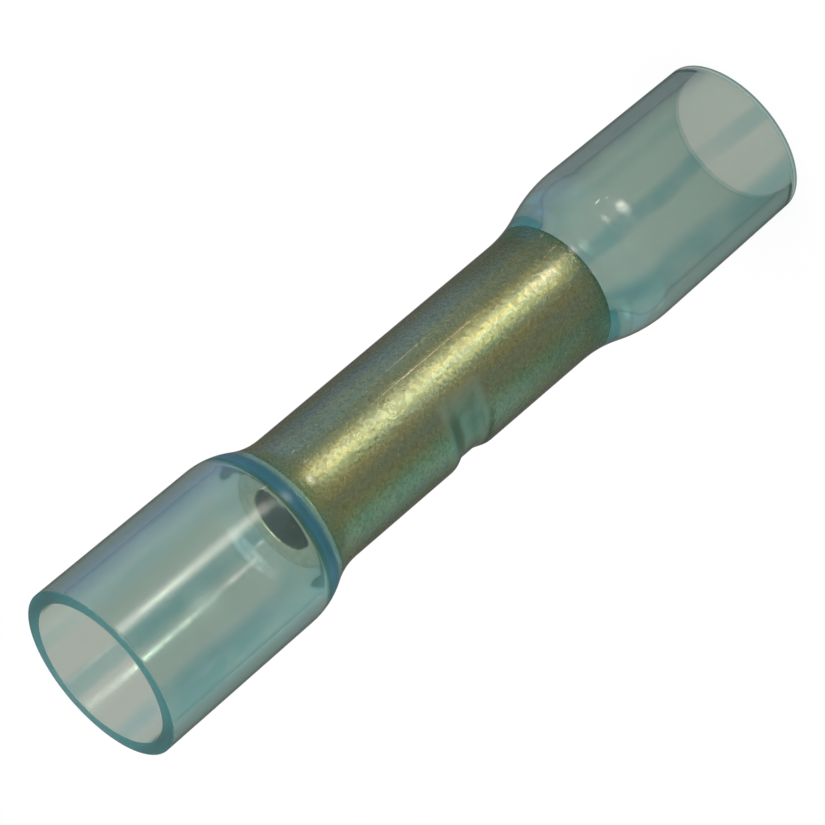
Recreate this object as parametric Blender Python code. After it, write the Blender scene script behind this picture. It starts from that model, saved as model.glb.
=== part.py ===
"""A heat-shrink butt splice connector for two stranded wires, at its real size.

It is two pieces: a one-piece translucent sleeve, wide and open at both ends and
necked down in the middle, and a plain metal crimp barrel held in that neck. One
punch mark in the middle presses both walls inwards and forms the wire stop.

The connector stands on the flat-cut end of its narrower tube. The origin is the
centre of that end, +Z runs up the axis and the punch mark faces -Y.
"""

import math

import bmesh
import bpy

MM = 0.001

# Sleeve: lengths along the axis, from the base end up (the neck between follows the barrel)
BASE_TUBE_LENGTH = 6.65 * MM
BASE_SHOULDER_LENGTH = 3.75 * MM
TOP_SHOULDER_LENGTH = 2.85 * MM
TOP_TUBE_LENGTH = 7.00 * MM

# Sleeve: outer diameters of the two tubes, each at its cut end and at its shoulder
BASE_END_DIAMETER = 6.20 * MM
BASE_FOOT_DIAMETER = 6.38 * MM
TOP_FOOT_DIAMETER = 6.54 * MM
TOP_END_DIAMETER = 6.65 * MM

# Sleeve: wall thickness of the wide tubes and of the neck
TUBE_WALL = 0.50 * MM
NECK_WALL = 0.45 * MM

# Barrel: a plain tube, whose two ends stand past the neck into the shoulders
BARREL_LENGTH = 14.20 * MM
BARREL_DIAMETER = 4.10 * MM
BARREL_BORE = 2.40 * MM
BARREL_OVERHANG = 1.35 * MM
SLEEVE_CLEARANCE = 0.04 * MM

# Punch mark: a shallow band pressed in around the neck's front, that slopes off on all sides
PUNCH_DEPTH = 0.19 * MM
PUNCH_FLAT_LENGTH = 0.70 * MM
PUNCH_SLOPE_LENGTH = 0.65 * MM
PUNCH_FLAT_ANGLE = math.radians(54.0)
PUNCH_SLOPE_ANGLE = math.radians(24.0)

# Fineness of the turned shapes
SEGMENTS = 48
SHOULDER_STEPS = 8
PUNCH_SLOPE_STEPS = 4
SHARP_EDGE_ANGLE = math.radians(35.0)

# Sizes that follow from the ones above
NECK_LENGTH = BARREL_LENGTH - 2 * BARREL_OVERHANG
NECK_RADIUS = BARREL_DIAMETER / 2 + SLEEVE_CLEARANCE + NECK_WALL
NECK_BASE_HEIGHT = BASE_TUBE_LENGTH + BASE_SHOULDER_LENGTH
NECK_TOP_HEIGHT = NECK_BASE_HEIGHT + NECK_LENGTH
TOP_FOOT_HEIGHT = NECK_TOP_HEIGHT + TOP_SHOULDER_LENGTH
SLEEVE_LENGTH = TOP_FOOT_HEIGHT + TOP_TUBE_LENGTH
BARREL_BASE_HEIGHT = NECK_BASE_HEIGHT - BARREL_OVERHANG
PUNCH_HEIGHT = BARREL_BASE_HEIGHT + BARREL_LENGTH / 2
PUNCH_MOUTH_LENGTH = PUNCH_FLAT_LENGTH + 2 * PUNCH_SLOPE_LENGTH


def clear_scene():
    for scene_object in list(bpy.data.objects):
        bpy.data.objects.remove(scene_object, do_unlink=True)


def make_material(name, color, roughness, metallic=0.0, transmission=0.0, ior=1.5):
    material = bpy.data.materials.new(name)
    material.use_nodes = True
    surface = material.node_tree.nodes["Principled BSDF"]
    surface.inputs["Base Color"].default_value = (*color, 1.0)
    surface.inputs["Roughness"].default_value = roughness
    surface.inputs["Metallic"].default_value = metallic
    surface.inputs["Transmission Weight"].default_value = transmission
    surface.inputs["IOR"].default_value = ior
    material.diffuse_color = (*color, 1.0)
    return material


def shoulder_radius(run, length, tube_radius, neck_radius):
    """Radius at a distance run from the neck, along two equal arcs that meet tangentially."""
    rise = tube_radius - neck_radius
    full_turn = 2 * math.atan2(rise, length)
    arc_radius = length / 2 / math.sin(full_turn)
    if run < length / 2:
        return neck_radius + arc_radius - math.sqrt(arc_radius ** 2 - run ** 2)
    rest = length - run
    return tube_radius - arc_radius + math.sqrt(arc_radius ** 2 - rest ** 2)


def shoulder_points(length, tube_radius):
    """Points (distance from the neck, outer radius, wall) between a neck and its tube."""
    points = []
    for step in range(1, SHOULDER_STEPS + 1):
        share = step / SHOULDER_STEPS
        run = share * length
        radius = shoulder_radius(run, length, tube_radius, NECK_RADIUS)
        wall = NECK_WALL + share * (TUBE_WALL - NECK_WALL)
        points.append((run, radius, wall))
    return points


def punch_offsets():
    """Heights of the punch mark's rings, counted from its middle, from the lowest up."""
    step_length = PUNCH_SLOPE_LENGTH / PUNCH_SLOPE_STEPS
    upper = [PUNCH_FLAT_LENGTH / 2 + step_length * step for step in range(PUNCH_SLOPE_STEPS + 1)]
    return [-offset for offset in reversed(upper)] + upper


def fade_off(distance, flat, slope):
    """1 across the flat middle of the mark, falling smoothly to 0 over the slope on each side."""
    past_flat = max(abs(distance) - flat / 2, 0.0)
    return 0.5 + 0.5 * math.cos(math.pi * min(past_flat / slope, 1.0))


def punch_push(offset, angle):
    """How far the punch presses a wall towards the axis, at a height and an angle from its middle."""
    along = fade_off(offset, PUNCH_FLAT_LENGTH, PUNCH_SLOPE_LENGTH)
    around = fade_off(angle, PUNCH_FLAT_ANGLE, PUNCH_SLOPE_ANGLE)
    return PUNCH_DEPTH * along * around


def sleeve_section():
    """Points (height, outer radius, wall) of the sleeve from its base end up."""
    base = shoulder_points(BASE_SHOULDER_LENGTH, BASE_FOOT_DIAMETER / 2)
    top = shoulder_points(TOP_SHOULDER_LENGTH, TOP_FOOT_DIAMETER / 2)
    section = [(0.0, BASE_END_DIAMETER / 2, TUBE_WALL)]
    section += [(NECK_BASE_HEIGHT - run, radius, wall) for run, radius, wall in reversed(base)]
    section.append((NECK_BASE_HEIGHT, NECK_RADIUS, NECK_WALL))
    section += [(PUNCH_HEIGHT + offset, NECK_RADIUS, NECK_WALL) for offset in punch_offsets()]
    section.append((NECK_TOP_HEIGHT, NECK_RADIUS, NECK_WALL))
    section += [(NECK_TOP_HEIGHT + run, radius, wall) for run, radius, wall in top]
    section.append((SLEEVE_LENGTH, TOP_END_DIAMETER / 2, TUBE_WALL))
    return section


def barrel_section():
    """Points (height, outer radius, wall) of the barrel from its own lower end up."""
    heights = [BARREL_LENGTH / 2 + offset for offset in punch_offsets()]
    wall = (BARREL_DIAMETER - BARREL_BORE) / 2
    return [(height, BARREL_DIAMETER / 2, wall) for height in [0.0, *heights, BARREL_LENGTH]]


def is_in_punch(face, punch_height):
    """Whether a face lies in the punch mark, where its four corners are no longer in one plane."""
    middle = face.calc_center_median()
    return abs(middle.z - punch_height) < PUNCH_MOUTH_LENGTH / 2 and middle.y < 0.0


def turn_tube(name, section, punch_height, material):
    """Turn a section about +Z into a closed tube, then press the punch mark into both its walls."""
    mesh = bpy.data.meshes.new(name)
    work = bmesh.new()
    outer = [work.verts.new((radius, 0.0, height)) for height, radius, wall in section]
    inner = [work.verts.new((radius - wall, 0.0, height)) for height, radius, wall in section]
    loop = outer + inner[::-1]
    edges = [work.edges.new((loop[index - 1], loop[index])) for index in range(len(loop))]
    bmesh.ops.spin(
        work,
        geom=loop + edges,
        cent=(0.0, 0.0, 0.0),
        axis=(0.0, 0.0, 1.0),
        angle=2 * math.pi,
        steps=SEGMENTS,
        use_merge=True,
    )
    bmesh.ops.recalc_face_normals(work, faces=work.faces)
    for vertex in work.verts:
        x, y, height = vertex.co
        push = punch_push(height - punch_height, math.atan2(x, -y))
        keep = 1.0 - push / math.hypot(x, y)
        vertex.co = (x * keep, y * keep, height)
    pressed = [face for face in work.faces if is_in_punch(face, punch_height)]
    bmesh.ops.triangulate(work, faces=pressed, quad_method="SHORT_EDGE")
    work.to_mesh(mesh)
    work.free()
    mesh.shade_smooth()
    mesh.set_sharp_from_angle(angle=SHARP_EDGE_ANGLE)
    mesh.materials.append(material)
    tube = bpy.data.objects.new(name, mesh)
    bpy.context.collection.objects.link(tube)
    return tube


def build_sleeve(parent):
    material = make_material("sleeve_plastic", (0.24, 0.42, 0.41), 0.15, transmission=0.9)
    sleeve = turn_tube("insulating_sleeve", sleeve_section(), PUNCH_HEIGHT, material)
    sleeve.parent = parent
    return sleeve


def build_barrel(parent):
    material = make_material("barrel_brass", (0.72, 0.60, 0.30), 0.32, metallic=1.0)
    barrel = turn_tube("crimp_barrel", barrel_section(), BARREL_LENGTH / 2, material)
    barrel.parent = parent
    barrel.location = (0.0, 0.0, BARREL_BASE_HEIGHT)
    return barrel


def main():
    clear_scene()
    connector = bpy.data.objects.new("connector", None)
    connector.empty_display_size = TOP_END_DIAMETER
    bpy.context.collection.objects.link(connector)
    build_sleeve(connector)
    build_barrel(connector)


main()
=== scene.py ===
# %% [markdown]
# # A heat-shrink butt splice connector, seen close up
#
# The real thing joins two stranded wires end to end. A short brass tube, the
# crimp barrel, sits inside a sleeve of translucent blue-green plastic that is
# wide at both ends and hugs the barrel in the middle. A punch has pressed one
# shallow mark into both, so that each wire stops halfway.
#
# Only two pieces are there, so their surfaces have to carry the picture: clear
# plastic that turns deep teal where it is seen edge on, and grainy drawn brass
# behind it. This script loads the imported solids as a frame, models both pieces
# again with finer rings and soft edges, and gives them their finish.

# %% The fixed frame
import math

import bpy
from mathutils import Matrix, Vector


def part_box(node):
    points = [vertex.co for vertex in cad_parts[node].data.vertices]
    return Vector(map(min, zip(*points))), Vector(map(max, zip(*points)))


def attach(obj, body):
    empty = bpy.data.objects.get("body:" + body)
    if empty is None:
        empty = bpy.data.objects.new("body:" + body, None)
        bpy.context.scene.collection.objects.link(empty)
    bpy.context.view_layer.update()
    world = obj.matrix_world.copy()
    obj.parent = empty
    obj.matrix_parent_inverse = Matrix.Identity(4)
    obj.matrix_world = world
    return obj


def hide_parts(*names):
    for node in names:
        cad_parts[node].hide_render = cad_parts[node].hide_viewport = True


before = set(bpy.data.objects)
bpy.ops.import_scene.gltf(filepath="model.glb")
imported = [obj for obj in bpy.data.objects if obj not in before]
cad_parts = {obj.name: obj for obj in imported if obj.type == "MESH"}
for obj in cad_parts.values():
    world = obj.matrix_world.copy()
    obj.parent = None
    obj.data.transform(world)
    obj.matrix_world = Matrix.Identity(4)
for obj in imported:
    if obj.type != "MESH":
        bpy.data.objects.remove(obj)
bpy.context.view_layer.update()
sleeve_low, sleeve_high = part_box("insulating_sleeve")
barrel_low, barrel_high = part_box("crimp_barrel")
print("sleeve from", tuple(sleeve_low), "to", tuple(sleeve_high))
print("barrel from", tuple(barrel_low), "to", tuple(barrel_high))

# %% [markdown]
# ## Sizes
#
# The frame gives the length and the widest diameter of each piece. What a box
# can't tell, such as a wall or the length of a shoulder, is written here once,
# in metres, as it was measured for the solids. A size that follows from others
# is worked out, so that a change in one place reaches all of them.

# %% Sizes of the sleeve and the barrel
MM = 0.001

SLEEVE_LENGTH = sleeve_high.z
TOP_END_RADIUS = sleeve_high.x
BARREL_RADIUS = barrel_high.x
BARREL_BASE = barrel_low.z
BARREL_TOP = barrel_high.z

TOP_FOOT_RADIUS = 3.27 * MM
BASE_FOOT_RADIUS = 3.19 * MM
BASE_END_RADIUS = 3.10 * MM
TOP_TUBE_LENGTH = 7.00 * MM
BASE_TUBE_LENGTH = 6.65 * MM
TOP_SHOULDER_LENGTH = 2.85 * MM
BASE_SHOULDER_LENGTH = 3.75 * MM
TUBE_WALL = 0.50 * MM
NECK_WALL = 0.45 * MM
SLEEVE_CLEARANCE = 0.04 * MM
BARREL_BORE_RADIUS = 1.20 * MM

NECK_RADIUS = BARREL_RADIUS + SLEEVE_CLEARANCE + NECK_WALL
NECK_BASE = BASE_TUBE_LENGTH + BASE_SHOULDER_LENGTH
TOP_FOOT = SLEEVE_LENGTH - TOP_TUBE_LENGTH
NECK_TOP = TOP_FOOT - TOP_SHOULDER_LENGTH
print("neck from", round(NECK_BASE / MM, 2), "to", round(NECK_TOP / MM, 2), "mm")

# %% Sizes of the punch mark
PUNCH_DEPTH = 0.19 * MM
PUNCH_FLAT_LENGTH = 0.70 * MM
PUNCH_SLOPE_LENGTH = 0.65 * MM
PUNCH_FLAT_ANGLE = math.radians(54.0)
PUNCH_SLOPE_ANGLE = math.radians(24.0)

PUNCH_HEIGHT = (BARREL_BASE + BARREL_TOP) / 2
PUNCH_REACH = PUNCH_FLAT_LENGTH / 2 + PUNCH_SLOPE_LENGTH
PUNCH_LOW = PUNCH_HEIGHT - PUNCH_REACH
PUNCH_HIGH = PUNCH_HEIGHT + PUNCH_REACH
print("punch mark from", round(PUNCH_LOW / MM, 2), "to", round(PUNCH_HIGH / MM, 2), "mm")

# %% [markdown]
# ## Turning a tube ring by ring
#
# Both pieces are tubes, so both start as one circle. In edit mode the circle is
# extruded upwards and scaled again and again, as on a lathe, once for each point
# of the outline. At the top it turns inwards and runs down again as the bore,
# and a bridge closes the ring at the bottom. Spinning a drawn outline would give
# the same tube; going ring by ring keeps each height and radius in sight.

# %% A helper that turns a closed outline into a tube
RING_POINTS = 192


def turn_tube(name, outline):
    """Extrude a circle through (radius, height) points, up the outside and down the bore."""
    bpy.ops.object.select_all(action="DESELECT")
    radius, height = outline[0]
    bpy.ops.mesh.primitive_circle_add(
        vertices=RING_POINTS, radius=radius, location=(0.0, 0.0, height)
    )
    tube = bpy.context.object
    tube.name = name
    bpy.ops.object.transform_apply(location=True, rotation=True, scale=True)
    bpy.ops.object.mode_set(mode="EDIT")
    bpy.ops.mesh.select_all(action="SELECT")
    for next_radius, next_height in outline[1:]:
        bpy.ops.mesh.extrude_edges_move(
            TRANSFORM_OT_translate={"value": (0.0, 0.0, next_height - height)}
        )
        ratio = next_radius / radius
        bpy.ops.transform.resize(
            value=(ratio, ratio, 1.0), center_override=(0.0, 0.0, next_height)
        )
        radius, height = next_radius, next_height
    bpy.ops.mesh.select_non_manifold(extend=False)
    bpy.ops.mesh.bridge_edge_loops()
    bpy.ops.mesh.select_all(action="SELECT")
    bpy.ops.mesh.normals_make_consistent(inside=False)
    bpy.ops.object.mode_set(mode="OBJECT")
    return tube


print("a ring has", RING_POINTS, "points")

# %% [markdown]
# ## Where the rings go
#
# A straight tube needs few rings, a shoulder needs many. So each stretch of the
# outline is cut into its own number of even steps, and the steps are merged into
# one rising list. Where two stretches meet, the height stands in both, and only
# one of the two may stay: two rings in one place would shade as a dark line.


# %% Helpers for the heights of the rings
SAME_HEIGHT = 1e-7


def evenly(start, end, steps):
    """Heights from start to end in even steps, both ends among them."""
    return [start + (end - start) * step / steps for step in range(steps + 1)]


def in_order(*runs):
    """All heights of several runs from the lowest up, where each stands only once."""
    heights = sorted(height for run in runs for height in run)
    kept = heights[:1]
    for height in heights[1:]:
        if height - kept[-1] > SAME_HEIGHT:
            kept.append(height)
    return kept


print("a shoulder in four steps:", [round(height, 2) for height in evenly(0.0, 1.0, 4)])

# %% [markdown]
# ## The outside of the sleeve
#
# The sleeve is one length of heat-shrink tube. Its two cut ends differ a little:
# the upper tube flares slightly and the lower one narrows slightly. Each shoulder
# is two arcs that meet without a corner, because warm plastic never folds
# sharply. A free curve could be drawn for this, but two arcs need only the
# length and the two radii.


# %% The outer radius at each height
def s_curve(run, length, low, high):
    """Radius at a distance run on two equal arcs that lead smoothly from low to high."""
    turn = 2 * math.atan2(high - low, length)
    arc = length / 2 / math.sin(turn)
    if run < length / 2:
        return low + arc - math.sqrt(arc ** 2 - run ** 2)
    return high - arc + math.sqrt(arc ** 2 - (length - run) ** 2)


def tube_radius(height):
    """Outer radius of the two wide tubes, which widen or narrow evenly along their length."""
    if height < SLEEVE_LENGTH / 2:
        share = height / BASE_TUBE_LENGTH
        return BASE_END_RADIUS + share * (BASE_FOOT_RADIUS - BASE_END_RADIUS)
    share = (SLEEVE_LENGTH - height) / TOP_TUBE_LENGTH
    return TOP_END_RADIUS + share * (TOP_FOOT_RADIUS - TOP_END_RADIUS)


def outer_radius(height):
    """Outer radius of the whole sleeve."""
    if height < BASE_TUBE_LENGTH or height > NECK_TOP + TOP_SHOULDER_LENGTH:
        return tube_radius(height)
    if height < NECK_BASE:
        return s_curve(NECK_BASE - height, BASE_SHOULDER_LENGTH, NECK_RADIUS, BASE_FOOT_RADIUS)
    if height > NECK_TOP:
        return s_curve(height - NECK_TOP, TOP_SHOULDER_LENGTH, NECK_RADIUS, TOP_FOOT_RADIUS)
    return NECK_RADIUS


print("neck radius", round(outer_radius(PUNCH_HEIGHT) / MM, 3), "mm")

# %% [markdown]
# ## The bore of the sleeve
#
# The neck is shrunk tight onto the barrel. That shows: where clear plastic
# touches metal, no air is left between them to mirror the light, and the brass
# looks wet. So the bore is a hair tighter than the barrel here. Past the barrel's
# two ends it flares out to the wide tubes.

# %% The inner radius at each height
NECK_BORE = BARREL_RADIUS - 0.01 * MM
TOP_FLARE = 1.10 * MM
BASE_FLARE = 2.40 * MM
TOP_FLARE_END = BARREL_TOP + TOP_FLARE
BASE_FLARE_END = BARREL_BASE - BASE_FLARE


def inner_radius(height):
    """Radius of the bore, which hugs the barrel up to its two ends and flares from there."""
    top_bore = TOP_FOOT_RADIUS - TUBE_WALL
    base_bore = BASE_FOOT_RADIUS - TUBE_WALL
    if height > TOP_FLARE_END:
        share = (SLEEVE_LENGTH - height) / (SLEEVE_LENGTH - TOP_FLARE_END)
        return TOP_END_RADIUS - TUBE_WALL + share * (TOP_FOOT_RADIUS - TOP_END_RADIUS)
    if height > BARREL_TOP:
        return s_curve(height - BARREL_TOP, TOP_FLARE, NECK_BORE, top_bore)
    if height < BASE_FLARE_END:
        share = height / BASE_FLARE_END
        return BASE_END_RADIUS - TUBE_WALL + share * (BASE_FOOT_RADIUS - BASE_END_RADIUS)
    if height < BARREL_BASE:
        return s_curve(BARREL_BASE - height, BASE_FLARE, NECK_BORE, base_bore)
    return NECK_BORE


print("bore at the upper end", round(inner_radius(SLEEVE_LENGTH) / MM, 3), "mm in radius")

# %% [markdown]
# ## The sleeve, turned
#
# The outline runs up the outside and down the bore. One ring more stands close to
# each cut end, because smooth shading spreads over a whole face: without that
# ring the flat rim would tilt the shading of the tube far behind it.

# %% The sleeve
TUBE_STEPS = 6
SHOULDER_STEPS = 16
MARK_STEPS = 24
NEAR_RIM = 0.10 * MM

mark = evenly(PUNCH_LOW, PUNCH_HIGH, MARK_STEPS)
near_rims = [NEAR_RIM, SLEEVE_LENGTH - NEAR_RIM]
outer_stations = in_order(
    evenly(0.0, BASE_TUBE_LENGTH, TUBE_STEPS),
    evenly(BASE_TUBE_LENGTH, NECK_BASE, SHOULDER_STEPS),
    evenly(NECK_BASE, PUNCH_LOW, TUBE_STEPS),
    mark,
    evenly(PUNCH_HIGH, NECK_TOP, TUBE_STEPS),
    evenly(NECK_TOP, NECK_TOP + TOP_SHOULDER_LENGTH, SHOULDER_STEPS),
    evenly(NECK_TOP + TOP_SHOULDER_LENGTH, SLEEVE_LENGTH, TUBE_STEPS),
    near_rims,
)
inner_stations = in_order(
    evenly(0.0, BASE_FLARE_END, TUBE_STEPS),
    evenly(BASE_FLARE_END, BARREL_BASE, SHOULDER_STEPS),
    evenly(BARREL_BASE, PUNCH_LOW, TUBE_STEPS),
    mark,
    evenly(PUNCH_HIGH, BARREL_TOP, TUBE_STEPS),
    evenly(BARREL_TOP, TOP_FLARE_END, SHOULDER_STEPS),
    evenly(TOP_FLARE_END, SLEEVE_LENGTH, TUBE_STEPS),
    near_rims,
)
outside = [(outer_radius(height), height) for height in outer_stations]
inside = [(inner_radius(height), height) for height in reversed(inner_stations)]
sleeve = turn_tube("translucent_sleeve", outside + inside)
print("sleeve rings:", len(outer_stations), "outside,", len(inner_stations), "inside")

# %% [markdown]
# ## Rounding the cut rims
#
# A blade has cut both ends of the sleeve flat, and its edges are only just
# broken. A small bevel is enough. The edges are found by their height, and those
# that run from the bore to the outside are left out: they lie flat in the rim,
# and a bevel on them would fold its faces.

# %% A helper that bevels ring edges, and the sleeve's rims
RIM_ROUNDING = 0.04 * MM
SAME_PLACE = 1e-6


def round_edges(piece, heights, width):
    """Bevel the ring edges that lie at the given heights."""
    bpy.ops.object.select_all(action="DESELECT")
    piece.select_set(True)
    bpy.context.view_layer.objects.active = piece
    bpy.ops.object.mode_set(mode="EDIT")
    bpy.ops.mesh.select_mode(type="EDGE")
    bpy.ops.mesh.select_all(action="DESELECT")
    bpy.ops.object.mode_set(mode="OBJECT")
    for edge in piece.data.edges:
        ends = [piece.data.vertices[index].co for index in edge.vertices]
        level = any(
            all(abs(end.z - height) < SAME_PLACE for end in ends) for height in heights
        )
        around = abs(ends[0].xy.length - ends[1].xy.length) < SAME_PLACE
        edge.select = level and around
    bpy.ops.object.mode_set(mode="EDIT")
    bpy.ops.mesh.bevel(offset=width, segments=3, affect="EDGES")
    bpy.ops.object.mode_set(mode="OBJECT")


round_edges(sleeve, (0.0, SLEEVE_LENGTH), RIM_ROUNDING)
print("sleeve faces:", len(sleeve.data.polygons))

# %% [markdown]
# ## The barrel
#
# The barrel is a plain piece of brass tube, cut square, with its sharp edges
# broken. It reaches a little past the neck into both shoulders. It is turned in
# the same way as the sleeve, with the same heights in the punch mark, so that
# both pieces bend alike there.

# %% The barrel
NEAR_END = 0.20 * MM
BARREL_STEPS = 8
END_ROUNDING = 0.08 * MM

barrel_stations = in_order(
    evenly(BARREL_BASE, PUNCH_LOW, BARREL_STEPS),
    mark,
    evenly(PUNCH_HIGH, BARREL_TOP, BARREL_STEPS),
    [BARREL_BASE + NEAR_END, BARREL_TOP - NEAR_END],
)
outside = [(BARREL_RADIUS, height) for height in barrel_stations]
inside = [(BARREL_BORE_RADIUS, height) for height in reversed(barrel_stations)]
barrel = turn_tube("brass_barrel", outside + inside)
round_edges(barrel, (BARREL_BASE, BARREL_TOP), END_ROUNDING)
print("barrel faces:", len(barrel.data.polygons))

# %% [markdown]
# ## The punch mark
#
# One stroke of a hollow-faced punch pressed a shallow band into the front of
# sleeve and barrel together, and the wires stop against it. Each point in front
# of the punch moves straight towards the axis, by the full depth in the middle of
# the mark and by less and less on the slopes around it. By hand this would be
# proportional editing, but that has one reach for all directions. Here the reach
# along the axis and the one around it differ, so the points are moved in code,
# and one rule serves for both walls of both pieces.


# %% Pressing the mark into both pieces
def fade_off(distance, flat, slope):
    """1 across the flat middle of the mark, falling smoothly to 0 over the slope on each side."""
    past_flat = max(abs(distance) - flat / 2, 0.0)
    return 0.5 + 0.5 * math.cos(math.pi * min(past_flat / slope, 1.0))


def press_punch(piece):
    """Move the points in front of the punch towards the axis, and tell how many moved."""
    pressed = 0
    for vertex in piece.data.vertices:
        x, y, height = vertex.co
        along = fade_off(height - PUNCH_HEIGHT, PUNCH_FLAT_LENGTH, PUNCH_SLOPE_LENGTH)
        around = fade_off(math.atan2(x, -y), PUNCH_FLAT_ANGLE, PUNCH_SLOPE_ANGLE)
        push = PUNCH_DEPTH * along * around
        if push > 0:
            keep = 1.0 - push / math.hypot(x, y)
            vertex.co = (x * keep, y * keep, height)
            pressed += 1
    return pressed


print("sleeve points pressed:", press_punch(sleeve))
print("barrel points pressed:", press_punch(barrel))

# %% [markdown]
# ## Smooth shading, and a place in the frame
#
# The tubes are round and their rims are flat. Smooth shading with a limit of 40
# degrees keeps that difference, and weighted normals let the big faces decide
# over the narrow bevels. Then each piece rides on the connector's only body and
# stands for its imported solid.


# %% A helper that finishes a piece, for both pieces
def finish_piece(piece, node):
    """Shade a piece, and give it its place in the frame."""
    bpy.ops.object.select_all(action="DESELECT")
    piece.select_set(True)
    bpy.context.view_layer.objects.active = piece
    bpy.ops.object.shade_smooth_by_angle(angle=math.radians(40.0))
    piece.modifiers.new("true_flats", "WEIGHTED_NORMAL")
    bpy.ops.object.modifier_apply(modifier="true_flats")
    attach(piece, "root")
    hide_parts(node)
    print(piece.name, "stands for", node)


finish_piece(sleeve, "insulating_sleeve")
finish_piece(barrel, "crimp_barrel")

# %% [markdown]
# ## Building materials in code
#
# In the shader editor a material is a web of nodes and wires. In code each node
# takes a few lines, so short helpers stand for what would be done there with the
# mouse: add a node, plug something into a socket, do a sum, blend two colours.


# %% Helpers that add nodes
def new_material(name):
    """An empty node material."""
    material = bpy.data.materials.new(name)
    material.use_nodes = True
    material.node_tree.nodes.clear()
    return material


def plug(tree, socket, value):
    """Wire an output into a socket, or set the socket to a number, a vector or a colour."""
    if isinstance(value, bpy.types.NodeSocket):
        tree.links.new(value, socket)
    elif socket.type == "RGBA" and len(value) == 3:
        socket.default_value = (*value, 1.0)
    else:
        socket.default_value = value


def add_node(tree, kind, **values):
    """Add a shader node and fill the sockets that are named."""
    node = tree.nodes.new("ShaderNode" + kind)
    for name, value in values.items():
        plug(tree, node.inputs[name.replace("_", " ")], value)
    return node


def finish_material(tree, surface, volume=None):
    """Wire a surface, and a volume if there is one, into the material's output."""
    output = add_node(tree, "OutputMaterial", Surface=surface)
    if volume is not None:
        plug(tree, output.inputs["Volume"], volume)


print("helpers for nodes are ready")


# %% Helpers for sums
def calc(tree, operation, *values, clamp=False):
    """Add a Math node for numbers or sockets and give its result."""
    node = tree.nodes.new("ShaderNodeMath")
    node.operation = operation
    node.use_clamp = clamp
    for socket, value in zip(node.inputs, values):
        plug(tree, socket, value)
    return node.outputs["Value"]


def times(tree, first, *others):
    """The product of two or more values."""
    for other in others:
        first = calc(tree, "MULTIPLY", first, other)
    return first


def plus(tree, first, *others):
    """The sum of two or more values."""
    for other in others:
        first = calc(tree, "ADD", first, other)
    return first


def minus(tree, first, second):
    """The difference of two values."""
    return calc(tree, "SUBTRACT", first, second)


def distance(tree, first, second):
    """How far two values are apart, without a sign."""
    return calc(tree, "ABSOLUTE", minus(tree, first, second))


print("helpers for sums are ready")


# %% Helpers for vectors, ranges and colours
def calc_vector(tree, operation, first, second=None, result="Vector"):
    """Add a Vector Math node and give its result."""
    node = tree.nodes.new("ShaderNodeVectorMath")
    node.operation = operation
    plug(tree, node.inputs[0], first)
    if second is not None:
        plug(tree, node.inputs[1], second)
    return node.outputs[result]


def remap(tree, value, from_low, from_high, to_low=0.0, to_high=1.0):
    """Map a range of numbers smoothly onto another."""
    node = tree.nodes.new("ShaderNodeMapRange")
    node.interpolation_type = "SMOOTHSTEP"
    places = ("Value", "From Min", "From Max", "To Min", "To Max")
    for name, number in zip(places, (value, from_low, from_high, to_low, to_high)):
        plug(tree, node.inputs[name], number)
    return node.outputs["Result"]


def blend_colors(tree, share, first, second, blend_type="MIX"):
    """Mix two colours, each a socket or red, green and blue."""
    node = tree.nodes.new("ShaderNodeMix")
    node.data_type = "RGBA"
    node.blend_type = blend_type
    for name, value in (("Factor", share), ("A", first), ("B", second)):
        socket = [place for place in node.inputs if place.name == name and place.enabled][0]
        plug(tree, socket, value)
    return [place for place in node.outputs if place.enabled][0]


def mix_shaders(tree, share, first, second):
    """Mix two shaders: all of the first at 0, all of the second at 1."""
    node = add_node(tree, "MixShader", Fac=share)
    tree.links.new(first, node.inputs[1])
    tree.links.new(second, node.inputs[2])
    return node.outputs["Shader"]


def add_shaders(tree, first, second):
    """Lay the light of two shaders over each other."""
    node = add_node(tree, "AddShader")
    tree.links.new(first, node.inputs[0])
    tree.links.new(second, node.inputs[1])
    return node.outputs["Shader"]


print("helpers for vectors, ranges and colours are ready")

# %% [markdown]
# ## A shared surface: drawn lines and soft patches
#
# Plastic tube is pushed through a die, and brass tube is pulled through one. Both
# keep fine lines along their length, and both vary in large soft patches. So one
# node group serves all of them. It reads Object coordinates, which stay with the
# piece. The lines are a noise that is stretched along Z, simply by shrinking Z
# before the noise is read.

# %% The group of lines and patches
ALONG_AXIS = 0.03

drawn = bpy.data.node_groups.new("drawn_surface", "ShaderNodeTree")
for name, value in (("Line Scale", 1500.0), ("Patch Scale", 300.0)):
    socket = drawn.interface.new_socket(name, in_out="INPUT", socket_type="NodeSocketFloat")
    socket.default_value = value
for name in ("Lines", "Patches"):
    drawn.interface.new_socket(name, in_out="OUTPUT", socket_type="NodeSocketFloat")
start = drawn.nodes.new("NodeGroupInput")
end = drawn.nodes.new("NodeGroupOutput")
place = add_node(drawn, "TexCoord").outputs["Object"]
stretched = calc_vector(drawn, "MULTIPLY", place, (1.0, 1.0, ALONG_AXIS))
lines = add_node(
    drawn, "TexNoise", Vector=stretched, Scale=start.outputs["Line Scale"], Detail=4.0
)
patches = add_node(
    drawn, "TexNoise", Vector=place, Scale=start.outputs["Patch Scale"], Detail=3.0
)
plug(drawn, end.inputs["Lines"], lines.outputs["Fac"])
plug(drawn, end.inputs["Patches"], patches.outputs["Fac"])


def add_drawn_surface(tree, line_scale, patch_scale):
    """Place the group in a material, and give its lines and its patches."""
    node = tree.nodes.new("ShaderNodeGroup")
    node.node_tree = drawn
    node.inputs["Line Scale"].default_value = line_scale
    node.inputs["Patch Scale"].default_value = patch_scale
    return node.outputs["Lines"], node.outputs["Patches"]


print("group:", drawn.name, "with", len(drawn.nodes), "nodes")


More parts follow.
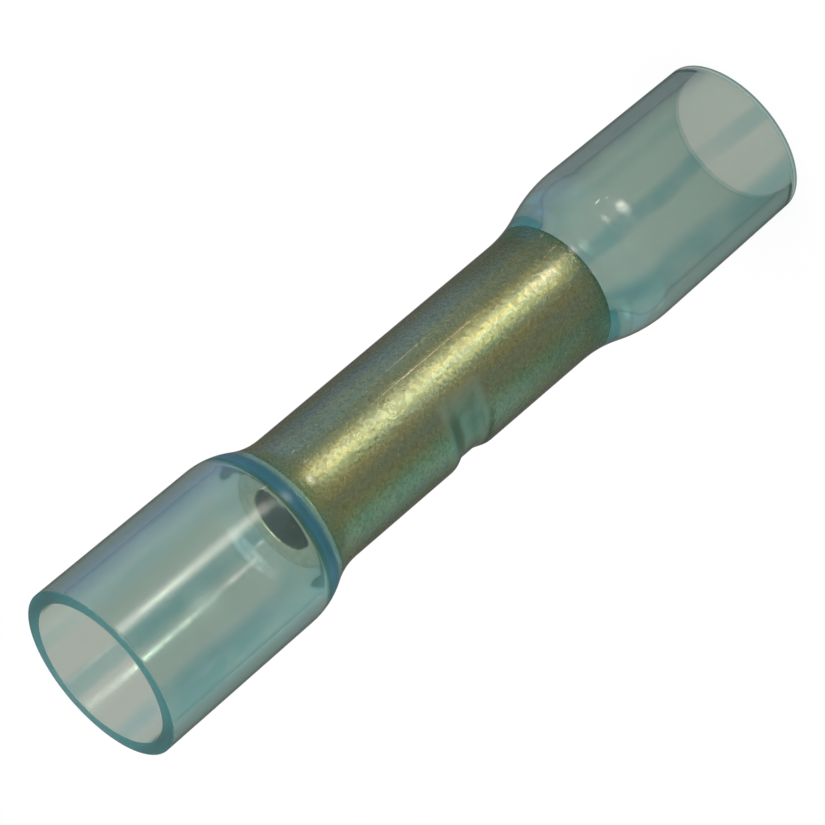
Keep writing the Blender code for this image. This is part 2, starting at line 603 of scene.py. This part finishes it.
# %% Where on a round piece a point lies
def place_on_tube(tree):
    """Height, turn about the axis and distance from it, for each point of the surface."""
    place = add_node(tree, "TexCoord").outputs["Object"]
    split = add_node(tree, "SeparateXYZ", Vector=place)
    azimuth = calc(tree, "ARCTAN2", split.outputs["Y"], split.outputs["X"])
    flat = calc_vector(tree, "MULTIPLY", place, (1.0, 1.0, 0.0))
    radius = calc_vector(tree, "LENGTH", flat, result="Value")
    return split.outputs["Z"], azimuth, radius


print("each point is known by its height, its turn and its radius")

# %% [markdown]
# ## The sleeve's plastic: painted streaks of shade
#
# Seen through the wall, a few broad streaks of teal run up the sleeve, and one
# side has a violet, smoky cast. Both are painted shade: the shadow seen through
# the wall is put into the plastic's tint. A painted image could hold them, but a
# mask around the axis is sharper and needs no image: the cosine of the turn away
# from a streak's middle is 1 on it and falls off on both sides. The patches push
# the streaks a little to and fro.

# %% Streaks of painted shade, and fine lines
# middle and half width in degrees around the axis, then strength
SHADE_STREAKS = (
    (-18.0, 9.0, 0.62),
    (-66.0, 16.0, 0.9),
    (38.0, 13.0, 0.45),
    (118.0, 9.0, 0.4),
    (157.0, 10.0, 0.8),
    (-156.0, 10.0, 0.6),
    (-112.0, 7.0, 0.4),
)
SWAY = 0.22
CLEAR = (0.80, 0.84, 0.81)
STREAK_SHADE = (0.45, 0.67, 0.69)
SMOKY_SHADE = (0.93, 0.84, 0.91)


def streak_mask(tree, around, azimuth, half_width):
    """1 along one line up the sleeve, falling to 0 at the half width on each side."""
    closeness = calc(tree, "COSINE", minus(tree, around, math.radians(azimuth)))
    return remap(tree, closeness, math.cos(math.radians(half_width)), 1.0)


plastic = new_material("teal_plastic")
tree = plastic.node_tree
level, azimuth, radius = place_on_tube(tree)
lines, patches = add_drawn_surface(tree, 1400.0, 420.0)
around = plus(tree, azimuth, times(tree, minus(tree, patches, 0.5), SWAY))
# painted shade: darker teal streaks in the tint, with the fine drawn lines added
streak = 0.0
for middle, half_width, strength in SHADE_STREAKS:
    one = times(tree, streak_mask(tree, around, middle, half_width), strength)
    streak = calc(tree, "MAXIMUM", one, streak)
streak = times(tree, streak, remap(tree, patches, 0.34, 0.60, 0.35, 1.0))
fine = remap(tree, lines, 0.50, 0.75, 0.0, 0.16)
dye_and_shade = calc(tree, "ADD", streak, fine, clamp=True)
tint = blend_colors(tree, dye_and_shade, CLEAR, STREAK_SHADE)
# painted shade: a smoky side, darkening the tint
smoky_shade = streak_mask(tree, around, 50.0, 28.0)
tint = blend_colors(tree, smoky_shade, tint, SMOKY_SHADE, "MULTIPLY")
print("streaks of dye:", len(SHADE_STREAKS))

# %% [markdown]
# ## The sleeve's plastic: rims and edges
#
# The blade left the rims rough, so they scatter light and show the full colour.
# Just above the lower rim the outside of the wall gets a dark line of painted
# shade. And where the wall is seen edge on, its outline is darkened with painted
# shade. Layer Weight gives that last mask: it grows as the surface turns away.

# %% Coloured rims, and painted shade at the foot and the outline
RIM = (0.36, 0.72, 0.76)
EDGE = (0.10, 0.30, 0.32)
OUTLINE_SHADE = (0.24, 0.24, 0.20)
RIM_DEPTH = 0.02 * MM
RIM_ROUGHNESS = 0.40
FOOT_RADIUS = 2.95 * MM
FOOT_FADES = (0.08 * MM, 0.16 * MM)

from_middle = distance(tree, level, SLEEVE_LENGTH / 2)
rim = calc(tree, "GREATER_THAN", from_middle, SLEEVE_LENGTH / 2 - RIM_DEPTH)
tint = blend_colors(tree, rim, tint, RIM)
front = minus(tree, 1.0, add_node(tree, "NewGeometry").outputs["Backfacing"])
# painted shade: a dark line on the outside just above the lower rim
foot_shade = remap(tree, level, *FOOT_FADES, 1.0, 0.0)
foot_shade = times(tree, foot_shade, calc(tree, "GREATER_THAN", radius, FOOT_RADIUS), front)
tint = blend_colors(tree, foot_shade, tint, EDGE)
# painted shade: the outline darkens as the wall turns edge on
facing = add_node(tree, "LayerWeight", Blend=0.5).outputs["Facing"]
edge_on_shade = times(tree, remap(tree, facing, 0.70, 0.90), front)
tint = blend_colors(tree, edge_on_shade, tint, OUTLINE_SHADE, "MULTIPLY")
roughness = remap(tree, patches, 0.30, 0.70, 0.03, 0.07)
roughness = plus(tree, roughness, times(tree, rim, RIM_ROUGHNESS))
print("the cut rims are", RIM_ROUGHNESS, "rougher than the rest")

# %% [markdown]
# ## The sleeve's plastic: not quite smooth
#
# Tube that is pushed through a die keeps faint lines, and shrinking leaves it a
# little wavy. Both are only a few thousandths of a millimetre deep, too fine for
# a mesh, so they go into the bump: it tilts the shading and leaves the shape as
# it is. The lines count in full, and the soft patches give the waves.

# %% The bump
BUMP_STRENGTH = 0.18
BUMP_DEPTH = 0.02 * MM
WAVE_SHARE = 0.6

height = plus(tree, lines, times(tree, patches, WAVE_SHARE))
bump = add_node(tree, "Bump", Strength=BUMP_STRENGTH, Distance=BUMP_DEPTH, Height=height)
print("bump about", round(BUMP_STRENGTH * BUMP_DEPTH / MM, 4), "mm deep")

# %% [markdown]
# ## The sleeve's plastic: painted shade at the step onto the barrel
#
# Just above the barrel's upper end the real wall steps in, and light hardly comes
# out of it there: a narrow band around the shoulder looks solid and blue. A step
# of its true size would be thinner than the mesh is fine, so the band is painted
# shade instead: a mask of height fades in an opaque deep blue plastic. A sloping
# line through the middle of the wall tells the outer face, which gets the band,
# from the bore.

# %% The band of painted shade around the upper shoulder
BAND_SHADE_BLUE = (0.13, 0.50, 0.68)
BAND_LOW = (23.40 * MM, 23.65 * MM)
BAND_HIGH = (23.95 * MM, 24.20 * MM)
WALL_MIDDLE_HEIGHT = 22.75 * MM
WALL_MIDDLE_RADIUS = 2.50 * MM
WALL_MIDDLE_SLOPE = 0.3

rise = remap(tree, level, *BAND_LOW)
fall = remap(tree, level, *BAND_HIGH, 1.0, 0.0)
widening = times(tree, minus(tree, level, WALL_MIDDLE_HEIGHT), WALL_MIDDLE_SLOPE)
wall_middle = plus(tree, widening, WALL_MIDDLE_RADIUS)
outer_side = calc(tree, "GREATER_THAN", radius, wall_middle)
band = times(tree, rise, fall, outer_side, front)
band = times(tree, band, remap(tree, patches, 0.25, 0.60, 0.60, 0.92))
print("band from", round(BAND_LOW[0] / MM, 2), "to", round(BAND_HIGH[1] / MM, 2), "mm")

# %% [markdown]
# ## The sleeve's plastic: putting it together
#
# Clear plastic is mostly transmission, with an index of refraction of 1.5. Its
# colour comes from inside: Volume Absorption takes away red along the way, so
# the wall is pale when light crosses it and deep teal when light runs along it.
#
# Two things help the renderer. A ray that is mirrored inside the wall again and
# again would be given up and come out black, so after the third mirroring it
# ends in a painted glow of the wall's deep colour: an emission that stands in
# for the light lost there. And shadow rays pass straight through a pale tint,
# because bent light would hardly ever find a lamp.

# %% The finished plastic
TRAPPED_GLOW = (0.155, 0.275, 0.265)
SHADOW_TINT = (0.86, 0.94, 0.94)
BODY_COLOR = (0.06, 0.77, 0.77)

surface = add_node(
    tree,
    "BsdfPrincipled",
    Base_Color=tint,
    Roughness=roughness,
    IOR=1.50,
    Transmission_Weight=0.95,
    Normal=bump.outputs["Normal"],
)
# painted shade: an opaque deep blue plastic for the band
band_shade = add_node(
    tree,
    "BsdfPrincipled",
    Base_Color=BAND_SHADE_BLUE,
    Roughness=0.30,
    Normal=bump.outputs["Normal"],
)
# painted light: the wall glows in its deep colour for rays trapped in it
trapped_glow = add_node(tree, "Emission", Color=TRAPPED_GLOW, Strength=1.0)
clear = add_node(tree, "BsdfTransparent", Color=SHADOW_TINT)
body = add_node(tree, "VolumeAbsorption", Color=BODY_COLOR, Density=400.0)
ray = add_node(tree, "LightPath")
trapped = calc(tree, "GREATER_THAN", ray.outputs["Glossy Depth"], 2.5)
wall = mix_shaders(tree, band, surface.outputs["BSDF"], band_shade.outputs["BSDF"])
wall = mix_shaders(tree, trapped, wall, trapped_glow.outputs["Emission"])
wall = mix_shaders(tree, ray.outputs["Is Shadow Ray"], wall, clear.outputs["BSDF"])
finish_material(tree, wall, body.outputs["Volume"])
sleeve.data.materials.append(plastic)
print(plastic.name, "has", len(tree.nodes), "nodes")

# %% [markdown]
# ## The barrel's brass: colour
#
# Brass is yellow, but this tube has been stored: it goes greenish in patches and
# strokes, brown in its grain, and dark in small pits. Each is one blend over the
# one before, from the largest to the smallest. A texture of scattered cells
# gives the pits, one at the centre of each cell.

# %% Colours of the brass
YELLOW = (0.66, 0.50, 0.21)
GREENISH = (0.50, 0.475, 0.31)
TARNISH = (0.36, 0.30, 0.13)
PIT = (0.18, 0.15, 0.08)
GRAIN_SCALE = 6200.0
PIT_SCALE = 2600.0

brass = new_material("drawn_brass")
tree = brass.node_tree
place = add_node(tree, "TexCoord").outputs["Object"]
lines, patches = add_drawn_surface(tree, 3000.0, 330.0)
grain = add_node(
    tree, "TexNoise", Vector=place, Scale=GRAIN_SCALE, Detail=4.0, Roughness=0.65
).outputs["Fac"]
specks = add_node(tree, "TexVoronoi", Vector=place, Scale=PIT_SCALE)
pits = remap(tree, specks.outputs["Distance"], 0.06, 0.18, 1.0, 0.0)
clouds = times(tree, remap(tree, patches, 0.38, 0.62), 0.45)
strokes = times(tree, remap(tree, lines, 0.40, 0.60), 0.55)
metal = blend_colors(tree, plus(tree, clouds, strokes), YELLOW, GREENISH)
metal = blend_colors(tree, remap(tree, grain, 0.45, 0.70, 0.0, 0.5), metal, TARNISH)
metal = blend_colors(tree, times(tree, pits, 0.3), metal, PIT)
print("brass grain is about", round(1 / GRAIN_SCALE / MM, 2), "mm across")

# %% [markdown]
# ## The barrel's brass: the bruise with a painted highlight, and the finish
#
# Where the punch has struck, the skin of tarnish is rubbed paler, and the pale
# colour there is also a painted highlight on the mark. The surface is rougher
# too, so that the mark's slopes don't mirror the dark room sharply. The bump is
# only about a hundredth of a millimetre deep. More of it would scatter the long
# highlight that runs down the barrel.

# %% The finished brass
BRUISE_AND_HIGHLIGHT = (0.85, 0.85, 0.64)
STRUCK_ALONG = (0.80 * MM, 1.15 * MM)
STRUCK_FRONT = (-1.50 * MM, -0.90 * MM)

split = add_node(tree, "SeparateXYZ", Vector=place)
from_mark = distance(tree, split.outputs["Z"], PUNCH_HEIGHT)
bruise_and_highlight = times(
    tree,
    remap(tree, from_mark, *STRUCK_ALONG, 1.0, 0.0),
    remap(tree, split.outputs["Y"], *STRUCK_FRONT, 1.0, 0.0),
)
# rubbed tarnish and painted highlight: the struck area is painted pale
metal = blend_colors(tree, times(tree, bruise_and_highlight, 0.6), metal, BRUISE_AND_HIGHLIGHT)
roughness = remap(tree, grain, 0.30, 0.70, 0.22, 0.32)
roughness = plus(tree, roughness, times(tree, bruise_and_highlight, 0.20))
height = minus(tree, plus(tree, grain, times(tree, lines, 0.4)), times(tree, pits, 0.4))
bump = add_node(tree, "Bump", Strength=0.55, Distance=0.02 * MM, Height=height)
surface = add_node(
    tree,
    "BsdfPrincipled",
    Base_Color=metal,
    Metallic=1.0,
    Roughness=roughness,
    Normal=bump.outputs["Normal"],
)
finish_material(tree, surface.outputs["BSDF"])
barrel.data.materials.append(brass)
print(brass.name, "has", len(tree.nodes), "nodes")

# %% [markdown]
# ## The barrel's ends and bore
#
# The ends were sawn and look pale and matt, and the bore is dull. Its colour
# also holds painted light: the teal of the sleeve around it, painted in. Each
# gets a material of its own: both are only partly metallic, because a rough
# oxide skin mirrors much less than bare brass. The faces are told apart by their
# distance from the axis and by where they look.


# %% A helper for the two matt finishes
def matt_metal(name, pattern_of, first, second, metallic, roughness, bump_strength, depth):
    """A partly metallic material whose colour, roughness and bump follow a pattern."""
    material = new_material(name)
    tree = material.node_tree
    fleck, relief = pattern_of(tree)
    bump = add_node(tree, "Bump", Strength=bump_strength, Distance=depth, Height=relief)
    surface = add_node(
        tree,
        "BsdfPrincipled",
        Base_Color=blend_colors(tree, remap(tree, fleck, 0.35, 0.65), first, second),
        Metallic=metallic,
        Roughness=remap(tree, relief, 0.30, 0.70, *roughness),
        Normal=bump.outputs["Normal"],
    )
    finish_material(tree, surface.outputs["BSDF"])
    barrel.data.materials.append(material)
    return material


def saw_marks(tree):
    """Fine marks of the saw, the same for colour and relief."""
    place = add_node(tree, "TexCoord").outputs["Object"]
    marks = add_node(tree, "TexNoise", Vector=place, Scale=4200.0, Detail=4.0).outputs["Fac"]
    return marks, marks


def bore_marks(tree):
    """Patches for the bore's colour, and drawn lines for its relief."""
    lines, patches = add_drawn_surface(tree, 2600.0, 900.0)
    return patches, lines


print("barrel materials so far:", len(barrel.data.materials))

# %% The sawn ends and the dull bore
PALE_END = (0.52, 0.47, 0.37)
DARK_END = (0.44, 0.40, 0.31)
# dark oxide with painted teal light from the sleeve around the bore
GREEN_BORE = (0.17, 0.23, 0.22)
BROWN_BORE = (0.23, 0.27, 0.23)
END_ROUGHNESS = (0.50, 0.65)
BORE_ROUGHNESS = (0.55, 0.70)

matt_metal(
    "sawn_brass", saw_marks, PALE_END, DARK_END, 0.30, END_ROUGHNESS, 0.6, 0.03 * MM
)
matt_metal(
    "dull_bore", bore_marks, GREEN_BORE, BROWN_BORE, 0.20, BORE_ROUGHNESS, 0.4, 0.02 * MM
)
for face in barrel.data.polygons:
    if face.center.xy.length < BARREL_BORE_RADIUS + 0.02 * MM:
        face.material_index = 2
    elif abs(face.normal.z) > 0.9:
        face.material_index = 1
print("barrel materials:", [material.name for material in barrel.data.materials])

# %% [markdown]
# ## The floor
#
# The photo's background is white paper, but the object isn't lit by it strongly.
# So the paper's own colour is a mid grey that catches the shadow, and its white
# is a glow that the camera sees. Through Light Path the same glow reaches rays
# that are mirrored or bent, in smaller shares, so that metal and plastic show the
# paper too and keep their depth.

# %% The paper floor
PAPER = (0.16, 0.155, 0.15)
WHITE = (1.0, 1.0, 1.0)
WARM = (1.0, 0.86, 0.76)
SEEN_BY_CAMERA = 0.88
SEEN_IN_MIRROR = 0.04
SEEN_THROUGH = 0.22
SEEN_STRAIGHT_THROUGH = 0.24

bpy.ops.object.select_all(action="DESELECT")
bpy.ops.mesh.primitive_plane_add(size=1.2, location=(0.0, 0.0, 0.0))
floor = bpy.context.object
floor.name = "studio_floor"
paper = new_material("studio_paper")
tree = paper.node_tree
lit = add_node(tree, "BsdfDiffuse", Color=PAPER)
ray = add_node(tree, "LightPath")
by_camera = times(tree, ray.outputs["Is Camera Ray"], SEEN_BY_CAMERA)
in_mirror = times(tree, ray.outputs["Is Glossy Ray"], SEEN_IN_MIRROR)
unmirrored = calc(tree, "LESS_THAN", ray.outputs["Glossy Depth"], 0.5)
share = plus(tree, times(tree, unmirrored, SEEN_STRAIGHT_THROUGH), SEEN_THROUGH)
through = times(tree, ray.outputs["Is Transmission Ray"], share)
strength = plus(tree, by_camera, in_mirror, through)
tone = blend_colors(tree, ray.outputs["Is Camera Ray"], WARM, WHITE)
glow = add_node(tree, "Emission", Color=tone, Strength=strength)
finish_material(tree, add_shaders(tree, lit.outputs["BSDF"], glow.outputs["Emission"]))
floor.data.materials.append(paper)
print("floor", tuple(round(side, 2) for side in floor.dimensions), "m")

# %% [markdown]
# ## The camera
#
# The photo was taken from above and to one side, with the camera rolled so that
# the connector lies across the frame. The angles come from fitting the outline.
# A camera's turn is easiest to build from its own three directions: where it
# looks, what is right and what is up. The connector's middle is a little off the
# frame's centre, and the camera moves sideways for that, with no lens shift.

# %% The camera
CAMERA_AZIMUTH = math.radians(70.0)
CAMERA_ELEVATION = math.radians(27.53)
CAMERA_ROLL = math.radians(-130.37)
CAMERA_DISTANCE = 174.93 * MM
FRAME_PIXELS = 825
FOCAL_PIXELS = 5140
SENSOR_WIDTH = 36.0
CENTRE_RIGHT_OF_AXIS = 0.53 * MM
CENTRE_ABOVE_AXIS = 0.59 * MM

toward = Vector((math.sin(CAMERA_AZIMUTH), -math.cos(CAMERA_AZIMUTH), 0.0))
level_right = Vector((math.cos(CAMERA_AZIMUTH), math.sin(CAMERA_AZIMUTH), 0.0))
sight = -toward * math.cos(CAMERA_ELEVATION)
sight.z = -math.sin(CAMERA_ELEVATION)
level_up = level_right.cross(sight)
right = level_right * math.cos(CAMERA_ROLL) + level_up * math.sin(CAMERA_ROLL)
up = right.cross(sight)
centre = Vector((0.0, 0.0, SLEEVE_LENGTH / 2))
eye = centre - right * CENTRE_RIGHT_OF_AXIS - up * CENTRE_ABOVE_AXIS - sight * CAMERA_DISTANCE

camera_data = bpy.data.cameras.new("photo_camera")
camera_data.sensor_width = SENSOR_WIDTH
camera_data.lens = FOCAL_PIXELS / FRAME_PIXELS * SENSOR_WIDTH
camera_data.clip_start = 0.001
camera_data.clip_end = 10.0
camera = bpy.data.objects.new("photo_camera", camera_data)
bpy.context.collection.objects.link(camera)
camera.location = eye
camera.rotation_euler = Matrix((right, up, -sight)).transposed().to_euler()
bpy.context.scene.camera = camera
print("lens", round(camera_data.lens, 1), "mm, from", [round(part, 3) for part in eye])

# %% [markdown]
# ## Soft light
#
# The photo's shadows are faint, so one large lamp hangs overhead and a plain
# bluish white world fills in from everywhere. Both stay weak: what makes the
# plastic sparkle are the cards that come next.

# %% The lamp, the world and the view transform
LAMP_SIDE = 0.20
LAMP_PLACE = Vector((0.05, 0.0, 0.30))
LAMP_POWER = 0.50
ROOM_COLOR = (0.80, 0.82, 0.84, 1.0)
ROOM_STRENGTH = 0.5

lamp_data = bpy.data.lights.new("soft_overhead", "AREA")
lamp_data.shape = "RECTANGLE"
lamp_data.size = LAMP_SIDE
lamp_data.size_y = LAMP_SIDE
lamp_data.energy = LAMP_POWER
lamp = bpy.data.objects.new("soft_overhead", lamp_data)
bpy.context.collection.objects.link(lamp)
lamp.location = LAMP_PLACE
lamp.rotation_euler = (-LAMP_PLACE).to_track_quat("-Z", "Y").to_euler()
lamp.visible_camera = False

world = bpy.data.worlds.new("studio_room")
bpy.context.scene.world = world
world.use_nodes = True
world.node_tree.nodes["Background"].inputs["Color"].default_value = ROOM_COLOR
world.node_tree.nodes["Background"].inputs["Strength"].default_value = ROOM_STRENGTH
bpy.context.scene.view_settings.view_transform = "Standard"
print("lamp", LAMP_POWER, "W,", LAMP_SIDE, "m square")

# %% [markdown]
# ## Reflector cards
#
# Shiny pieces are lit by what they mirror. A photographer lays white cards around
# them, out of the picture, and each card draws one highlight. Here the cards lie
# on the floor as thin wedges, each a stretch of distances from the axis and a
# range of turns around it. An upright tube mirrors the floor in order: what lies
# further away shows higher up, and what lies aside shows on the tube's side.
#
# A card glows most in its middle and fades to its sides and ends, or its
# highlight would have hard edges. All cards fade alike, so the fading is a node
# group.

# %% The group that fades a card
fading = bpy.data.node_groups.new("card_fading", "ShaderNodeTree")
for name, kind in (
    ("Direction", "NodeSocketVector"),
    ("Half Width", "NodeSocketFloat"),
    ("Near", "NodeSocketFloat"),
    ("Far", "NodeSocketFloat"),
    ("Soft End", "NodeSocketFloat"),
):
    fading.interface.new_socket(name, in_out="INPUT", socket_type=kind)
fading.interface.new_socket("Fade", in_out="OUTPUT", socket_type="NodeSocketFloat")
given = fading.nodes.new("NodeGroupInput").outputs
place = add_node(fading, "TexCoord").outputs["Object"]
flat = calc_vector(fading, "MULTIPLY", place, (1.0, 1.0, 0.0))
unit = calc_vector(fading, "NORMALIZE", flat)
closeness = calc_vector(fading, "DOT_PRODUCT", unit, given["Direction"], result="Value")
aside = calc(fading, "ARCCOSINE", closeness)
reach = calc_vector(fading, "LENGTH", flat, result="Value")
near_end = plus(fading, given["Near"], given["Soft End"])
far_end = minus(fading, given["Far"], given["Soft End"])
fade = times(
    fading,
    remap(fading, aside, 0.0, given["Half Width"], 1.0, 0.0),
    remap(fading, reach, given["Near"], near_end),
    remap(fading, reach, far_end, given["Far"], 1.0, 0.0),
)
plug(fading, fading.nodes.new("NodeGroupOutput").inputs["Fade"], fade)
print("group:", fading.name, "with", len(fading.nodes), "nodes")

# %% [markdown]
# ## One card
#
# A card's glow is added to what is behind it, through a Transparent shader, so it
# never hides the floor. It is invisible to the camera and casts no shadow. The
# clear plastic mirrors only a twentieth of a card, and the brass behind it
# mirrors half. So that both highlights come out right, a card can show a smaller
# share of itself to rays that haven't been through the plastic.


# %% The shape of a card
CARD_STEPS = 12
HIGHLIGHT = (1.0, 0.84, 0.76)
UNLIT = (0.0, 0.0, 0.0)


def floor_point(reach, turn, height):
    """A point over the floor, reach metres from the axis and turn degrees aside from the camera."""
    angle = math.radians(turn)
    flat = toward * math.cos(angle) - level_right * math.sin(angle)
    return flat * reach + Vector((0.0, 0.0, height))


def wedge(name, near, far, middle, half_width, height):
    """A flat strip that is bent around the axis."""
    turns = evenly(middle - half_width, middle + half_width, CARD_STEPS)
    corners = [floor_point(near, turn, height) for turn in turns]
    corners += [floor_point(far, turn, height) for turn in turns]
    row = CARD_STEPS + 1
    faces = [(step, step + row, step + row + 1, step + 1) for step in range(CARD_STEPS)]
    mesh = bpy.data.meshes.new(name)
    mesh.from_pydata([tuple(corner) for corner in corners], [], faces)
    return mesh


print("a wedge has", CARD_STEPS, "faces")


# %% The card's fading, its glow and the card itself
def fading_of(tree, near, far, middle, half_width, soft_end):
    """Place the group in a card's material and give how bright each point is, from 0 to 1."""
    node = tree.nodes.new("ShaderNodeGroup")
    node.node_tree = fading
    node.inputs["Direction"].default_value = tuple(floor_point(1.0, middle, 0.0))
    node.inputs["Half Width"].default_value = math.radians(half_width)
    node.inputs["Near"].default_value = near
    node.inputs["Far"].default_value = far
    node.inputs["Soft End"].default_value = soft_end
    return node.outputs["Fade"]


def add_glow(material, fade, strength, color, direct_share):
    """Glow over a clear card, of which rays that haven't been through plastic see a share."""
    tree = material.node_tree
    direct = minus(tree, 1.0, add_node(tree, "LightPath").outputs["Is Transmission Ray"])
    seen = minus(tree, 1.0, times(tree, direct, 1.0 - direct_share))
    shown = blend_colors(tree, times(tree, fade, seen), UNLIT, color)
    glow = add_node(tree, "Emission", Color=shown, Strength=strength)
    gap = add_node(tree, "BsdfTransparent")
    finish_material(tree, add_shaders(tree, glow.outputs["Emission"], gap.outputs["BSDF"]))
    material.cycles.emission_sampling = "NONE"


def add_card(
    name, reach, middle, half_width, strength, height, soft_end, color=HIGHLIGHT, direct_share=1.0
):
    """Lay a card on the floor: reach, height and soft end in millimetres, turns in degrees."""
    near, far = reach[0] * MM, reach[1] * MM
    material = new_material(name)
    fade = fading_of(material.node_tree, near, far, middle, half_width, soft_end * MM)
    add_glow(material, fade, strength, color, direct_share)
    mesh = wedge(name, near, far, middle, half_width, height * MM)
    mesh.materials.append(material)
    card = bpy.data.objects.new(name, mesh)
    bpy.context.collection.objects.link(card)
    card.visible_camera = False
    card.visible_diffuse = False
    card.visible_shadow = False
    print(name, "from", reach[0], "to", reach[1], "mm, turned", middle, "degrees")


print("cards glow in", HIGHLIGHT, "where no other colour is given")

# %% [markdown]
# ## The long highlight
#
# One window lights the real connector from its upper left. It draws a broad
# yellow-white band down the barrel and a bright streak down each wide tube. Two
# cards make the band, a wide one and a narrower one over it, and two more reach
# further out for the upper tube. The last one is close to the foot: the round
# start of the lower shoulder mirrors it as a bright spot.

# %% Cards for the long highlight
# name, reach, middle, half width, strength, height, soft end
add_card("wide_card", (16.0, 50.0), -18.5, 34.0, 2.0, 0.3, 6.0, direct_share=0.2)
add_card("core_card", (16.0, 50.0), -19.0, 19.0, 2.4, 0.4, 6.0, direct_share=0.13)
add_card("wide_end", (44.0, 110.0), -19.5, 40.0, 0.9, 0.3, 6.0, direct_share=0.5)
add_card("core_end", (44.0, 82.0), -23.5, 10.0, 4.3, 0.4, 6.0)
add_card("spot_card", (14.6, 23.2), -19.5, 13.0, 12.0, 0.4, 3.5)

# %% [markdown]
# ## Small glints
#
# The upper tube has a second, shorter streak to the right of the first, and three
# little dots in line with it. Inside its opening the back wall catches one more
# glint. And two thin bright lines run along the neck's left side.

# %% Cards for the small glints
YELLOW_GLINT = (1.0, 0.84, 0.62)

add_card("short_card", (60.5, 78.0), 19.0, 5.0, 2.4, 0.3, 4.0)
add_card("glint_card", (61.0, 69.0), -25.0, 4.0, 26.0, 0.5, 3.0, YELLOW_GLINT, direct_share=0.0)
add_card("edge_card", (25.0, 38.5), -44.7, 1.0, 11.0, 0.5, 3.0)
add_card("far_edge_card", (29.4, 36.3), -71.8, 0.8, 6.0, 0.5, 2.0)
add_card("first_dot", (53.9, 55.0), 4.8, 4.0, 7.0, 0.5, 0.4)
add_card("second_dot", (56.5, 57.7), 15.8, 4.0, 7.0, 0.5, 0.4)
add_card("third_dot", (58.0, 59.6), 16.1, 4.5, 10.0, 0.6, 0.5)

# %% [markdown]
# ## Coloured sides
#
# The room gives the left side of the neck a cool violet cast and the right side a
# teal one. Two broad faint cards in those colours do the same. Colouring the
# brass itself would look wrong from every other side.

# %% Cards for the coloured sides
VIOLET = (0.22, 0.48, 1.00)
TEAL = (0.42, 0.90, 0.92)

add_card("violet_card", (20.0, 110.0), -92.0, 50.0, 0.60, 0.3, 8.0, VIOLET)
add_card("teal_card", (20.0, 110.0), 100.0, 42.0, 0.52, 0.3, 8.0, TEAL)
